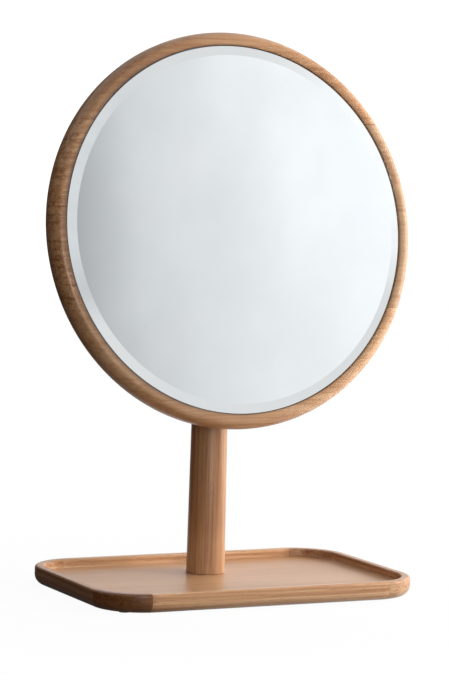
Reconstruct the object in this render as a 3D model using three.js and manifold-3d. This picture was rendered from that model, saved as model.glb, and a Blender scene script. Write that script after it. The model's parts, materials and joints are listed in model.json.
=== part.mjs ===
// A dressing-table mirror: a round oak-framed mirror that tilts on a turned oak post, over an oak tray.
// Millimetres, +Z up. The origin is on the table under the middle of the tray, +X is to the right
// and -Y is to the front, where the user sits.
import * as THREE from "three";
import { mergeVertices } from "three/addons/utils/BufferGeometryUtils.js";
import Module from "manifold-3d";

const wasm = await Module();
wasm.setup();

// ---------------------------------------------------------------- driving dimensions

const GAP = 0.3; // clearance round a pin, and between pieces that are glued or pressed together
const TOUCH = 0.1; // clearance between level faces that only rest on each other

const FOOT = { radius: 6, height: 1 };
const TRAY = { length: 376, width: 248, height: 20.5, corner: 56, joint: 48 }; // joint: from the end or side
const RIM = { width: 11, outerEdge: 3, innerEdge: 3, underside: 11, cove: 3.5, ledge: 24 };
const FLOOR = { top: 11.5, thickness: 6.5 }; // heights in the tray count from its underside
const RIM_DOWEL = { radius: 3, length: 20, inset: 9.5, height: 7.5 };

const POST = { y: 42.5, baseRadius: 21.2, topRadius: 18, aboveAxis: 20, edge: 4 };
const BASE_PLATE = { length: 90, width: 80, thickness: 3, corner: 8, screwX: 36, screwY: 31 };
const BASE_SCREW = { head: 3, shank: 1.5, length: 8 };
const POST_BOLT = { radius: 4, headRadius: 8, length: 44, socket: 2.9 };
const INSERT = { radius: 6, length: 26, start: 1 };
const POST_DOWEL = { radius: 3, length: 20, back: 13 };

const PIVOT = { z: 384.8, toFace: 58.45, boltRadius: 3 }; // toFace: from the tilt axis to the frame's front
const LEAN = { rest: THREE.MathUtils.degToRad(9), stop: THREE.MathUtils.degToRad(45) }; // from upright
const SLOT = { below: 15.5, seat: 14.5, seatRadius: 9 }; // the fork cut in the head of the post
const TONGUE = { width: 8, eye: 12, root: 14 };
const FRICTION_WASHER = { radius: 10, thickness: 1 };
const BUSH = { radius: 5 };
const WASHER = { radius: 8, thickness: 1.5 };
const BOLT_HEAD = { radius: 6.8, height: 4, edge: 1 };
const CAP_NUT = { corner: 5.8, hexagon: 5, dome: 4.8, bore: 6.5 }; // corner: radius to the hexagon's corners

const FRAME = { radius: 215, opening: 199.2, rebate: 208.8, depth: 27.2 };
const NOSE = { across: 4.6, deep: 1.2 }; // the frame's rounded edge next to the glass
const CROWN = { across: 11.2, deep: 14.9 }; // from the foremost line of the frame to its widest
const HEEL = { across: 4, deep: 8.5 }; // from its straight side to its back
const GLUE_LINES = [-86, 15, 116]; // heights of the frame's glue lines over its centre
const GLASS = { radius: 197.8, bevel: 9.6, front: 0.4, edge: 2.6, thickness: 5 }; // from the front plane
const PAD = { radius: 196.4, thickness: 0.8 }; // the foam that bonds the glass to the board
const BOARD = { radius: 208.4, thickness: 9 };
const BACKING_SCREW = { head: 1.9, shank: 1.1, length: 13.5, ring: 204.4 };
const BRACKET_SCREW = { head: 3.4, shank: 1.7, length: 9 };
const BRACKET = { length: 64, height: 50, thickness: 3, corner: 8, screwX: 24, screwZ: 17 };

const ROUND_STEPS = 96; // facets round the frame, the glass and the backing
const CORNER_STEPS = 12; // facets round a corner of the tray's rim
const POST_STEPS = 40;
const SMALL_STEPS = 12; // facets round a fastener
const ARC = 2; // three.js draws an arc of a shape with twice this many straight pieces

const PLATE_TOP = FLOOR.top - FLOOR.thickness - GAP;
const PLATE_UNDER = PLATE_TOP - BASE_PLATE.thickness;
const SLOT_HALF = TONGUE.width / 2 + FRICTION_WASHER.thickness + 2 * GAP;
const GLASS_BACK = -PIVOT.toFace + GLASS.front + GLASS.thickness; // counted from the tilt axis
const PAD_FRONT = GLASS_BACK + GAP;
const BOARD_FRONT = PAD_FRONT + PAD.thickness + GAP;
const BOARD_BACK = BOARD_FRONT + BOARD.thickness;
const QUARTER = Math.PI / 2;
const CORNERS = [
  ["back_right", 1, 1],
  ["back_left", -1, 1],
  ["front_left", -1, -1],
  ["front_right", 1, -1],
];
const X = new THREE.Vector3(1, 0, 0);
const Y = new THREE.Vector3(0, 1, 0);
const Z = new THREE.Vector3(0, 0, 1);

// ---------------------------------------------------------------- materials

const material = (color, roughness, metalness = 0) =>
  new THREE.MeshStandardMaterial({ color, roughness, metalness });
const OAK = material(0xc79a6f, 0.55);
const DOWEL_WOOD = material(0xd9bd92, 0.7);
const BOARD_BLACK = material(0x2a2826, 0.8);
const MIRROR = material(0xe6eaec, 0.03, 1);
const FOAM_BLACK = material(0x2b2b2c, 0.9);
const STEEL = material(0x8c8c8e, 0.35, 1);
const BLACK_STEEL = material(0x1d1d1e, 0.45, 0.7);
const BRASS = material(0xb08d4a, 0.3, 1);
const NYLON = material(0xe9e6dc, 0.6);
const FELT = material(0x5d5047, 0.98);

// ---------------------------------------------------------------- solids

/** The manifold-3d solid of a closed three.js geometry. */
function solidOf(geometry) {
  const bare = new THREE.BufferGeometry().setAttribute("position", geometry.getAttribute("position"));
  bare.setIndex(geometry.getIndex());
  const merged = mergeVertices(bare, 1e-4);
  const mesh = new wasm.Mesh({
    numProp: 3,
    vertProperties: merged.attributes.position.array,
    triVerts: new Uint32Array(merged.index.array),
  });
  return new wasm.Manifold(mesh);
}

/** The three.js geometry of a manifold-3d solid. */
function geometryOf(solid) {
  const { numProp, numVert, vertProperties, triVerts } = solid.getMesh();
  const position = new Float32Array(numVert * 3);
  for (let i = 0; i < numVert; i++) {
    const start = i * numProp;
    position.set(vertProperties.subarray(start, start + 3), i * 3);
  }
  const geometry = new THREE.BufferGeometry();
  geometry.setAttribute("position", new THREE.BufferAttribute(position, 3));
  return geometry.setIndex(new THREE.BufferAttribute(triVerts, 1));
}

/** A geometry with other geometries cut out of it. */
function cut(geometry, ...tools) {
  let solid = solidOf(geometry);
  for (const tool of tools) solid = solid.subtract(solidOf(tool));
  return geometryOf(solid);
}

/** What two geometries share. */
function common(a, b) {
  return geometryOf(solidOf(a).intersect(solidOf(b)));
}

/** Two geometries joined into one. */
function join(a, b) {
  return geometryOf(solidOf(a).add(solidOf(b)));
}

/** A turned solid about +Y from [radius, height] points, closed at the axis or on itself. */
function turn(points, steps) {
  const outline = points.map(([r, h]) => new THREE.Vector2(r, h));
  if (THREE.ShapeUtils.isClockWise(outline)) outline.reverse();
  const closed = points.every(([r]) => r > 0);
  if (closed) outline.push(outline[0].clone());
  return new THREE.LatheGeometry(outline, steps);
}

/** The same, standing along +Z. */
function turnUp(points, steps) {
  return turn(points, steps).rotateX(QUARTER);
}

/** The same, lying along +X. */
function turnAcross(points, steps) {
  return turn(points, steps).rotateZ(-QUARTER);
}

/** [radius, height] points of a disc or plain pin between two heights. */
function pin(radius, low, high) {
  return [[0, low], [radius, low], [radius, high], [0, high]];
}

/** [radius, height] points of a tube between two heights. */
function tube(outer, inner, low, high) {
  return [[inner, low], [outer, low], [outer, high], [inner, high]];
}

/** An outline in the YZ plane, drawn as (y, z), made solid along +X and centred on x = 0. */
function acrossX(shape, length) {
  const options = { depth: length, bevelEnabled: false, curveSegments: ARC };
  const geometry = new THREE.ExtrudeGeometry(shape, options);
  return geometry.applyMatrix4(new THREE.Matrix4().makeBasis(Y, Z, X)).translate(-length / 2, 0, 0);
}

/** A box between two corners. */
function block([x0, y0, z0], [x1, y1, z1]) {
  const box = new THREE.BoxGeometry(x1 - x0, y1 - y0, z1 - z0);
  return box.translate((x0 + x1) / 2, (y0 + y1) / 2, (z0 + z1) / 2);
}

/** A rectangle with round corners, centred on the origin. */
function roundedRectangle(length, width, radius) {
  const [a, b] = [length / 2 - radius, width / 2 - radius];
  const shape = new THREE.Shape();
  shape.moveTo(a, -b - radius);
  shape.absarc(a, -b, radius, -QUARTER, 0);
  shape.absarc(a, b, radius, 0, QUARTER);
  shape.absarc(-a, b, radius, QUARTER, 2 * QUARTER);
  shape.absarc(-a, -b, radius, 2 * QUARTER, 3 * QUARTER);
  return shape;
}

/** A flat plate along +Z from its outline, between two heights. */
function plate(shape, low, high, arc = ARC) {
  const options = { depth: high - low, bevelEnabled: false, curveSegments: arc };
  return new THREE.ExtrudeGeometry(shape, options).translate(0, 0, low);
}

/** [radius, height] points of a countersunk screw that points up, its head's face at height 0. */
function screwPoints(head, shank, length) {
  const cone = head - shank;
  return [[0, 0], [head, 0], [shank, cone], [shank, length - 2 * shank], [0, length]];
}

/** The hole for such a screw: the same shape, GAP larger, open below its head. */
function screwHole(head, shank, length) {
  const cone = head - shank;
  const [wide, narrow, end] = [head + GAP, shank + GAP, length + GAP];
  return [[0, -1], [wide, -1], [wide, 0], [narrow, cone], [narrow, end], [0, end]];
}

/** Adds a named piece to a group. */
function addPiece(group, name, geometry, look) {
  const mesh = new THREE.Mesh(geometry, look);
  mesh.name = name;
  group.add(mesh);
  return mesh;
}

// ---------------------------------------------------------------- the tray

/** The rim's section: across from its outer face, then up from its underside. */
function rimSection() {
  const { width, outerEdge, innerEdge, underside, cove, ledge } = RIM;
  const seat = FLOOR.top - FLOOR.thickness - TOUCH;
  const shape = new THREE.Shape();
  shape.moveTo(underside, 0);
  shape.lineTo(ledge, 0);
  shape.lineTo(ledge, seat);
  shape.lineTo(width + cove, seat);
  shape.lineTo(width + cove, FLOOR.top);
  shape.absarc(width + cove, FLOOR.top + cove, cove, -QUARTER, -2 * QUARTER, true);
  shape.lineTo(width, TRAY.height - innerEdge);
  shape.absarc(width - innerEdge, TRAY.height - innerEdge, innerEdge, 0, QUARTER);
  shape.absarc(outerEdge, TRAY.height - outerEdge, outerEdge, QUARTER, 2 * QUARTER);
  shape.absarc(underside, underside, underside, 2 * QUARTER, 3 * QUARTER);
  return shape;
}

/** The whole rim in one: its section carried round the tray's outline. */
function rimGeometry() {
  const { length, width, corner } = TRAY;
  const outline = rimSection().getPoints(ARC);
  outline.pop();
  const position = [];
  for (const [turns, sideX, sideY] of [[0, 1, 1], [1, -1, 1], [2, -1, -1], [3, 1, -1]]) {
    for (let step = 0; step <= CORNER_STEPS; step++) {
      const angle = (turns + step / CORNER_STEPS) * QUARTER;
      for (const { x, y } of outline) {
        const alongX = sideX * (length / 2 - corner) + (corner - x) * Math.cos(angle);
        const alongY = sideY * (width / 2 - corner) + (corner - x) * Math.sin(angle);
        position.push(alongX, alongY, y);
      }
    }
  }
  const index = [];
  const count = outline.length;
  const places = 4 * (CORNER_STEPS + 1);
  for (let i = 0; i < places; i++) {
    for (let j = 0; j < count; j++) {
      const [here, next] = [i * count, ((i + 1) % places) * count];
      const [a, b] = [j, (j + 1) % count];
      index.push(here + a, next + b, next + a, here + a, here + b, next + b);
    }
  }
  const geometry = new THREE.BufferGeometry();
  geometry.setAttribute("position", new THREE.Float32BufferAttribute(position, 3));
  return geometry.setIndex(index);
}

/** Where the rim's dowels go, two to a corner: [name, along X or not, x, y]. */
function rimDowelPlaces() {
  const [jointX, jointY] = [TRAY.length / 2 - TRAY.joint, TRAY.width / 2 - TRAY.joint];
  const [railX, railY] = [TRAY.length / 2 - RIM_DOWEL.inset, TRAY.width / 2 - RIM_DOWEL.inset];
  return CORNERS.flatMap(([name, sideX, sideY]) => [
    ["rim_dowel_long_" + name, true, sideX * jointX, sideY * railY],
    ["rim_dowel_short_" + name, false, sideX * railX, sideY * jointY],
  ]);
}

/** A dowel, or its bore, in its place in the rim. */
function rimDowel(radius, length, [, alongX, x, y]) {
  const rod = (alongX ? turnAcross : turn)(pin(radius, -length / 2, length / 2), SMALL_STEPS);
  return rod.translate(x, y, RIM_DOWEL.height);
}

/** The rim, bored for its dowels and parted at its joints into four rails and four corner blocks. */
function rimPieces() {
  const { radius, length } = RIM_DOWEL;
  const bores = rimDowelPlaces().map((place) => rimDowel(radius + GAP, length + 2 * GAP, place));
  const rim = cut(rimGeometry(), ...bores);
  const [farX, farY] = [TRAY.length / 2 + 1, TRAY.width / 2 + 1];
  const [jointX, jointY] = [TRAY.length / 2 - TRAY.joint, TRAY.width / 2 - TRAY.joint];
  const [railX, railY] = [jointX - GAP / 2, jointY - GAP / 2];
  const piece = (x0, y0, x1, y1) => common(rim, block([x0, y0, -1], [x1, y1, TRAY.height + 1]));
  const rails = [
    ["tray_rail_front", piece(-railX, -farY, railX, 0)],
    ["tray_rail_right", piece(0, -railY, farX, railY)],
    ["tray_rail_back", piece(-railX, 0, railX, farY)],
    ["tray_rail_left", piece(-farX, -railY, 0, railY)],
  ];
  const span = (side, near, far) => (side > 0 ? [near, far] : [-far, -near]);
  const corners = CORNERS.map(([name, sideX, sideY]) => {
    const [x0, x1] = span(sideX, jointX + GAP / 2, farX);
    const [y0, y1] = span(sideY, jointY + GAP / 2, farY);
    return ["tray_corner_" + name, piece(x0, y0, x1, y1)];
  });
  return [...rails, ...corners];
}

/** Where the base plate's screws go: [x, y, z] of their heads' faces. */
function baseScrewPlaces() {
  const { screwX, screwY } = BASE_PLATE;
  const corners = [[-1, -1], [1, -1], [-1, 1], [1, 1]];
  return corners.map(([x, y]) => [x * screwX, POST.y + y * screwY, PLATE_UNDER]);
}

/** The holes that those screws need in the plate and the floor. */
function baseScrewHoles() {
  const { head, shank, length } = BASE_SCREW;
  const hole = () => turnUp(screwHole(head, shank, length), SMALL_STEPS);
  return baseScrewPlaces().map((place) => hole().translate(...place));
}

/** The floor panel, bored for the post's bolt, its dowel and the base plate's screws. */
function floorGeometry() {
  const inset = RIM.width + RIM.cove + GAP;
  const outline = roundedRectangle(TRAY.length - 2 * inset, TRAY.width - 2 * inset, TRAY.corner - inset);
  const under = FLOOR.top - FLOOR.thickness;
  const bolt = turnUp(pin(POST_BOLT.radius + 5 * GAP, under - 1, FLOOR.top + 1), SMALL_STEPS);
  const dowel = turnUp(pin(POST_DOWEL.radius + GAP, under - 1, FLOOR.top + 1), SMALL_STEPS);
  return cut(
    plate(outline, under, FLOOR.top, 6),
    bolt.translate(0, POST.y, 0),
    dowel.translate(0, POST.y + POST_DOWEL.back, 0),
    ...baseScrewHoles(),
  );
}

/** The steel plate under the floor that the post is bolted through. */
function basePlateGeometry() {
  const outline = roundedRectangle(BASE_PLATE.length, BASE_PLATE.width, BASE_PLATE.corner);
  const bolt = turnUp(screwHole(POST_BOLT.headRadius, POST_BOLT.radius, POST_BOLT.length), SMALL_STEPS * 2);
  return cut(
    plate(outline, PLATE_UNDER, PLATE_TOP).translate(0, POST.y, 0),
    bolt.translate(0, POST.y, PLATE_UNDER),
    ...baseScrewHoles(),
  );
}

function addTray(group) {
  addPiece(group, "tray_floor", floorGeometry(), OAK);
  for (const [name, geometry] of rimPieces()) addPiece(group, name, geometry, OAK);
  for (const place of rimDowelPlaces()) {
    addPiece(group, place[0], rimDowel(RIM_DOWEL.radius, RIM_DOWEL.length, place), DOWEL_WOOD);
  }

  const reach = (TRAY.corner - (RIM.underside + RIM.ledge) / 2) * Math.SQRT1_2;
  const [padX, padY] = [TRAY.length / 2 - TRAY.corner + reach, TRAY.width / 2 - TRAY.corner + reach];
  for (const [name, sideX, sideY] of CORNERS) {
    const foot = turnUp(pin(FOOT.radius, -FOOT.height, -TOUCH), 2 * SMALL_STEPS);
    addPiece(group, "foot_pad_" + name, foot, FELT).position.set(sideX * padX, sideY * padY, 0);
  }

  addPiece(group, "base_plate", basePlateGeometry(), BLACK_STEEL);
  const { head, shank, length } = BASE_SCREW;
  baseScrewPlaces().forEach((place, i) => {
    const points = screwPoints(head, shank, length);
    const screw = addPiece(group, "base_plate_screw_" + (i + 1), turnUp(points, SMALL_STEPS), STEEL);
    screw.position.set(...place);
  });
}

// ---------------------------------------------------------------- the post

/** The turned post, forked at its head and bored for its fixings. Its foot is at height 0. */
function postGeometry(axis) {
  const { baseRadius, topRadius, edge, aboveAxis } = POST;
  const top = axis + aboveAxis;
  const outline = [[0, 0], [baseRadius - 0.6, 0], [baseRadius, 0.6], [topRadius, top - edge]];
  for (const a of [30, 60, 90]) {
    const angle = THREE.MathUtils.degToRad(a);
    outline.push([topRadius - edge + edge * Math.cos(angle), top - edge + edge * Math.sin(angle)]);
  }
  outline.push([0, top]);

  const far = 2 * baseRadius;
  const slot = block([-SLOT_HALF, -far, axis - SLOT.below], [SLOT_HALF, far, top + 1]);
  const bore = turnAcross(pin(BUSH.radius + GAP, -far, far), SMALL_STEPS * 2).translate(0, 0, axis);
  const seats = [-1, 1].map((side) => {
    const [low, high] = [side * SLOT.seat, side * far].sort((a, b) => a - b);
    return turnAcross(pin(SLOT.seatRadius, low, high), SMALL_STEPS * 2).translate(0, 0, axis);
  });
  const insert = turnUp(pin(INSERT.radius + GAP, -1, INSERT.start + INSERT.length + GAP), SMALL_STEPS * 2);
  const bolt = turnUp(pin(POST_BOLT.radius + GAP, 0, POST_BOLT.length), SMALL_STEPS);
  const dowel = turnUp(pin(POST_DOWEL.radius + GAP, -1, POST_DOWEL.length), SMALL_STEPS);
  dowel.translate(0, POST_DOWEL.back, 0);
  return cut(turnUp(outline, POST_STEPS), slot, bore, ...seats, insert, bolt, dowel);
}

/** The post, and what fixes it to the tray: a bolt with a hex socket, its threaded insert and a peg. */
function addPost(group) {
  const foot = FLOOR.top + TOUCH;
  const post = addPiece(group, "post", postGeometry(PIVOT.z - FOOT.height - foot), OAK);
  post.position.set(0, POST.y, foot);

  const insert = turnUp(tube(INSERT.radius, POST_BOLT.radius + GAP, 0, INSERT.length), SMALL_STEPS * 2);
  addPiece(group, "post_insert", insert, BRASS).position.set(0, POST.y, foot + INSERT.start);

  const { radius, headRadius, length, socket } = POST_BOLT;
  const outline = [[0, 0], [headRadius, 0], [radius, headRadius - radius], [radius, length], [0, length]];
  const hexagon = turnUp(pin(socket, -1, socket), 6);
  const bolt = cut(turnUp(outline, SMALL_STEPS * 2), hexagon);
  addPiece(group, "post_bolt", bolt, STEEL).position.set(0, POST.y, PLATE_UNDER);

  const dowel = pin(POST_DOWEL.radius, FLOOR.top - FLOOR.thickness, POST_DOWEL.length + FLOOR.thickness);
  const peg = addPiece(group, "post_dowel", turnUp(dowel, SMALL_STEPS), DOWEL_WOOD);
  peg.position.set(0, POST.y + POST_DOWEL.back, 0);
}

// ---------------------------------------------------------------- the tilt pivot

/** The cap nut along +X: a hexagon with a dome on it, bored from x = 0. */
function capNutGeometry() {
  const { corner, hexagon, dome, bore } = CAP_NUT;
  const top = [[0, hexagon - 1], [dome, hexagon - 1], [dome, hexagon + 1]];
  for (let i = 1; i <= 3; i++) {
    const angle = (i * QUARTER) / 3;
    top.push([dome * Math.cos(angle), hexagon + 1 + dome * Math.sin(angle)]);
  }
  const body = join(turnAcross(pin(corner, 0, hexagon), 6), turnAcross(top, SMALL_STEPS * 2));
  return cut(body, turnAcross(pin(PIVOT.boltRadius + GAP, -1, bore), SMALL_STEPS * 2));
}

/** What the fork, the tongue and the bolt hold between them, along the tilt axis. */
function addPivot(group) {
  const clear = PIVOT.boltRadius + GAP;
  const steps = SMALL_STEPS * 2;
  for (const [name, side] of [["left", -1], ["right", 1]]) {
    const bush = turnAcross(tube(BUSH.radius, clear, SLOT_HALF + TOUCH, SLOT.seat - TOUCH), steps);
    const inner = TONGUE.width / 2 + GAP;
    const { radius, thickness } = FRICTION_WASHER;
    const pad = turnAcross(tube(radius, clear, inner, inner + thickness), steps);
    const outer = SLOT.seat + TOUCH;
    const washer = turnAcross(tube(WASHER.radius, clear, outer, outer + WASHER.thickness), steps);
    for (const [piece, geometry, look] of [
      ["pivot_bush_", bush, BRASS],
      ["friction_washer_", pad, NYLON],
      ["pivot_washer_", washer, BLACK_STEEL],
    ]) {
      if (side < 0) geometry.rotateZ(2 * QUARTER);
      addPiece(group, piece + name, geometry, look);
    }
  }

  const seat = SLOT.seat + WASHER.thickness + 2 * TOUCH;
  const shank = PIVOT.boltRadius;
  const { radius, height, edge } = BOLT_HEAD;
  const end = seat + CAP_NUT.bore - 1;
  const bolt = [[0, end], [shank, end], [shank, -seat], [radius, -seat], [radius, -seat - edge]];
  for (let i = 1; i <= 4; i++) {
    const angle = (i * QUARTER) / 4;
    bolt.push([radius * Math.cos(angle), -seat - edge - (height - edge) * Math.sin(angle)]);
  }
  addPiece(group, "pivot_bolt", turnAcross(bolt, steps), BLACK_STEEL);
  addPiece(group, "pivot_cap_nut", capNutGeometry().translate(seat, 0, 0), BLACK_STEEL);
}

// ---------------------------------------------------------------- the mirror

/** The frame's section: [radius, y] with y backwards, its foremost line at y = -PIVOT.toFace. */
function frameOutline() {
  const { radius, opening, rebate, depth } = FRAME;
  const seat = BOARD_FRONT - GAP + PIVOT.toFace;
  const shape = new THREE.Shape();
  shape.moveTo(opening, seat);
  shape.lineTo(opening, NOSE.deep);
  shape.absellipse(opening + NOSE.across, NOSE.deep, NOSE.across, NOSE.deep, 2 * QUARTER, 3 * QUARTER);
  shape.absellipse(radius - CROWN.across, CROWN.deep, CROWN.across, CROWN.deep, -QUARTER, 0);
  shape.absellipse(radius - HEEL.across, depth - HEEL.deep, HEEL.across, HEEL.deep, 0, QUARTER);
  shape.lineTo(rebate, depth);
  shape.lineTo(rebate, seat);
  return shape.getPoints(ARC).map(({ x, y }) => [x, y - PIVOT.toFace]);
}

/** Where each backing screw goes: [x, z] round the frame, at least one in each board of it. */
function backingScrewPlaces() {
  return [90, 19, -11, 270, 191, 161].map((degrees) => {
    const angle = THREE.MathUtils.degToRad(degrees);
    return [BACKING_SCREW.ring * Math.cos(angle), BACKING_SCREW.ring * Math.sin(angle)];
  });
}

/** A screw, or its hole, driven towards the front at each [x, z] place from the face at `back`. */
function drivenForward(points, places, back) {
  return places.map(([x, z]) => turn(points, SMALL_STEPS).rotateX(2 * QUARTER).translate(x, back, z));
}

/** The ring, bored for the backing screws, then sawn at its glue lines into the boards it is made of. */
function frameBoards() {
  const { head, shank, length } = BACKING_SCREW;
  const holes = drivenForward(screwHole(head, shank, length), backingScrewPlaces(), BOARD_BACK);
  const ring = cut(turn(frameOutline(), ROUND_STEPS), ...holes);
  const far = FRAME.radius + 1;
  const levels = [-far, ...GLUE_LINES, far];
  const board = (low, high, left, right) =>
    common(ring, block([left, -2 * PIVOT.toFace, low + GAP / 2], [right, 0, high - GAP / 2]));
  return {
    frame_board_bottom: board(levels[0], levels[1], -far, far),
    frame_board_lower_left: board(levels[1], levels[2], -far, 0),
    frame_board_lower_right: board(levels[1], levels[2], 0, far),
    frame_board_upper_left: board(levels[2], levels[3], -far, 0),
    frame_board_upper_right: board(levels[2], levels[3], 0, far),
    frame_board_top: board(levels[3], levels[4], -far, far),
  };
}

/** The bevelled glass: its flat face, the bevel round it, its edge and its silvered back. */
function glassGeometry() {
  const { radius, bevel, front, edge } = GLASS;
  const face = front - PIVOT.toFace;
  const rim = edge - PIVOT.toFace;
  const outline = [[0, face], [radius - bevel, face], [radius, rim], [radius, GLASS_BACK], [0, GLASS_BACK]];
  return turn(outline, ROUND_STEPS);
}

/** Where the bracket's screws go: [x, z]. */
function bracketScrewPlaces() {
  const { screwX, screwZ } = BRACKET;
  return [[-screwX, -screwZ], [screwX, -screwZ], [-screwX, screwZ], [screwX, screwZ]];
}

/** The backing board, bored for its own screws and the bracket's. */
function boardGeometry() {
  const { head, shank, length } = BACKING_SCREW;
  const edge = drivenForward(screwHole(head, shank, length), backingScrewPlaces(), BOARD_BACK);
  const pilot = pin(BRACKET_SCREW.shank + GAP, -1, BRACKET_SCREW.length - BRACKET.thickness);
  const middle = drivenForward(pilot, bracketScrewPlaces(), BOARD_BACK);
  return cut(turn(pin(BOARD.radius, BOARD_FRONT, BOARD_BACK), ROUND_STEPS), ...edge, ...middle);
}

/**
 * The steel bracket: a plate screwed to the backing board, and a tongue with the eye that tilts on the bolt.
 * The eye has a heel whose flat lands on the floor of the fork's slot when the mirror leans back to its stop.
 */
function bracketGeometry() {
  const low = BOARD_BACK + GAP;
  const high = low + BRACKET.thickness;
  const outline = roundedRectangle(BRACKET.length, BRACKET.height, BRACKET.corner);
  const flat = plate(outline, -high, -low).rotateX(QUARTER);

  const flank = THREE.MathUtils.degToRad(100);
  const heelFoot = LEAN.stop - QUARTER;
  const heelTip = heelFoot + THREE.MathUtils.degToRad(25);
  const heel = SLOT.below - GAP;
  const reach = heel / Math.cos(heelTip - heelFoot);
  const tongue = new THREE.Shape();
  tongue.moveTo(low + 1, -TONGUE.root);
  tongue.lineTo(TONGUE.eye * Math.cos(flank), -TONGUE.eye * Math.sin(flank));
  tongue.lineTo(heel * Math.cos(heelFoot), heel * Math.sin(heelFoot));
  tongue.lineTo(reach * Math.cos(heelTip), reach * Math.sin(heelTip));
  for (let i = 0; i <= 6; i++) {
    const angle = (i * flank) / 6;
    tongue.lineTo(TONGUE.eye * Math.cos(angle), TONGUE.eye * Math.sin(angle));
  }
  tongue.lineTo(low + 1, TONGUE.root);

  const eye = turnAcross(pin(PIVOT.boltRadius + GAP, -TONGUE.width, TONGUE.width), SMALL_STEPS * 2);
  const { head, shank, length } = BRACKET_SCREW;
  const screws = drivenForward(screwHole(head, shank, length), bracketScrewPlaces(), high);
  return cut(join(flat, acrossX(tongue, TONGUE.width)), eye, ...screws);
}

/** Everything that tilts, about an origin on the tilt axis. */
function addMirror(group) {
  for (const [name, geometry] of Object.entries(frameBoards())) addPiece(group, name, geometry, OAK);
  addPiece(group, "mirror_glass", glassGeometry(), MIRROR);
  const pad = turn(pin(PAD.radius, PAD_FRONT, PAD_FRONT + PAD.thickness), ROUND_STEPS);
  addPiece(group, "mirror_pad", pad, FOAM_BLACK);
  addPiece(group, "backing_board", boardGeometry(), BOARD_BLACK);
  addPiece(group, "tilt_bracket", bracketGeometry(), BLACK_STEEL);

  for (const [name, { head, shank, length }, places, back] of [
    ["backing_screw_", BACKING_SCREW, backingScrewPlaces(), BOARD_BACK],
    ["bracket_screw_", BRACKET_SCREW, bracketScrewPlaces(), BOARD_BACK + GAP + BRACKET.thickness],
  ]) {
    const screws = drivenForward(screwPoints(head, shank, length), places, back);
    screws.forEach((screw, i) => addPiece(group, name + (i + 1), screw, STEEL));
  }
}

// ---------------------------------------------------------------- the assembly

const dressingMirror = new THREE.Group();

const stand = new THREE.Group();
stand.position.z = FOOT.height;
addTray(stand);
addPost(stand);
dressingMirror.add(stand);

const pivot = new THREE.Group();
pivot.position.set(0, POST.y, PIVOT.z);
addPivot(pivot);
dressingMirror.add(pivot);

const mirror = new THREE.Group();
mirror.position.copy(pivot.position);
mirror.rotation.x = -LEAN.rest;
addMirror(mirror);
dressingMirror.add(mirror);

export default dressingMirror;
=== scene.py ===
"""A dressing-table mirror in oak: fine meshes, materials, soft studio light and the camera.

Metres, +Z up, the origin on the table under the middle of the tray, -Y to the front. The named dimensions
are in millimetres, and new_mesh turns them into metres.
"""
import json
import math

import bmesh
import bpy
from mathutils import Matrix, Vector


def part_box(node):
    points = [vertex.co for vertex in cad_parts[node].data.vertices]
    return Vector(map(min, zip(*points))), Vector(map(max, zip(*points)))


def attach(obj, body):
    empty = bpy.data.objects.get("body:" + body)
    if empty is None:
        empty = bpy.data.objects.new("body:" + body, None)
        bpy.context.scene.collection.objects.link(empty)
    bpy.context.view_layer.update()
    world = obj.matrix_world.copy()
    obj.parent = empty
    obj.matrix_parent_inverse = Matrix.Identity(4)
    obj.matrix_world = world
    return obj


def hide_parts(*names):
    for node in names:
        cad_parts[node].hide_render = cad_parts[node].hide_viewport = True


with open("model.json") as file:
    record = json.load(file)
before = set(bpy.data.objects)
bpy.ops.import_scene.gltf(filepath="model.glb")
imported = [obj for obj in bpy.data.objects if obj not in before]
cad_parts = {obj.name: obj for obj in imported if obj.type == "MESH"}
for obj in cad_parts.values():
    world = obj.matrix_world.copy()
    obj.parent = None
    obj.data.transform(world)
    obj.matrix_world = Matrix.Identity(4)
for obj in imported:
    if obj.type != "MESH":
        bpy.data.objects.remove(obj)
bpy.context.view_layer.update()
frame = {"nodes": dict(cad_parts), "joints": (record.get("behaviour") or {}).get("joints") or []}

MM = 0.001

# ---------------------------------------------------------------- dimensions, in millimetres

FOOT_HEIGHT = 1
TRAY = dict(length=376, width=247.99, height=20.5, corner=56, joint=48)
RIM = dict(width=11, outer_edge=3, inner_edge=3, underside=11, cove=3.5, ledge=24, seat=4.9)
FLOOR = dict(top=11.5, bottom=5.0, inset=14.6)
POST = dict(base=21.2, top=18, above_axis=20, edge=4, foot=11.6, foot_edge=0.5, fork_edge=0.5)
SLOT = dict(half=5.6, below=15.5, seat=14.5, seat_radius=9, bore=5.3)
RING = dict(radius=214.78, opening=199.2, depth=27.2, nose=(4.6, 1.2), crown=(10.98, 14.9), heel=(3.78, 8.5),
            rebate=208.8, seat=6.5)
GLUE_LINES = (-86, 15, 116)  # heights over the frame's centre
GLASS_EDGE_SHADE = dict(width=9, gap_shade=(0.4, 2.2))  # painted shade on the frame next to the glass: how far it reaches from the opening, and where a painted dark line lies
GLASS = dict(radius=198.5, bevel=10.3, front=0.4, edge=2.6, back=5.4)
TO_FACE = 58.45  # from the pivot forward to the frame's front plane
LEAN = math.radians(9)
JOINT_GAP = 0.12
BACKING_SCREW = dict(head=1.9, shank=1.1, length=13.5)
BRACKET_SCREW = dict(head=3.4, shank=1.7, length=9)
BASE_SCREW = dict(head=3, shank=1.5, length=8)
SCREW = dict(edge=0.15, neck=0.1, lead=0.3)
THREAD = dict(pitch=0.5, root=0.82, end=0.8, point=2)  # of a screw's shank radius
RECESS = dict(reach=0.62, thick=0.13, deep=0.55)  # of a screw's head radius
PAST_SLOT = 5  # how far the post's slot cutter stands over its top
PAST_HEAD = 1  # how far a screw's recess cutter stands over its head
STUDIO_FLOOR = 4000  # half its width

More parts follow.
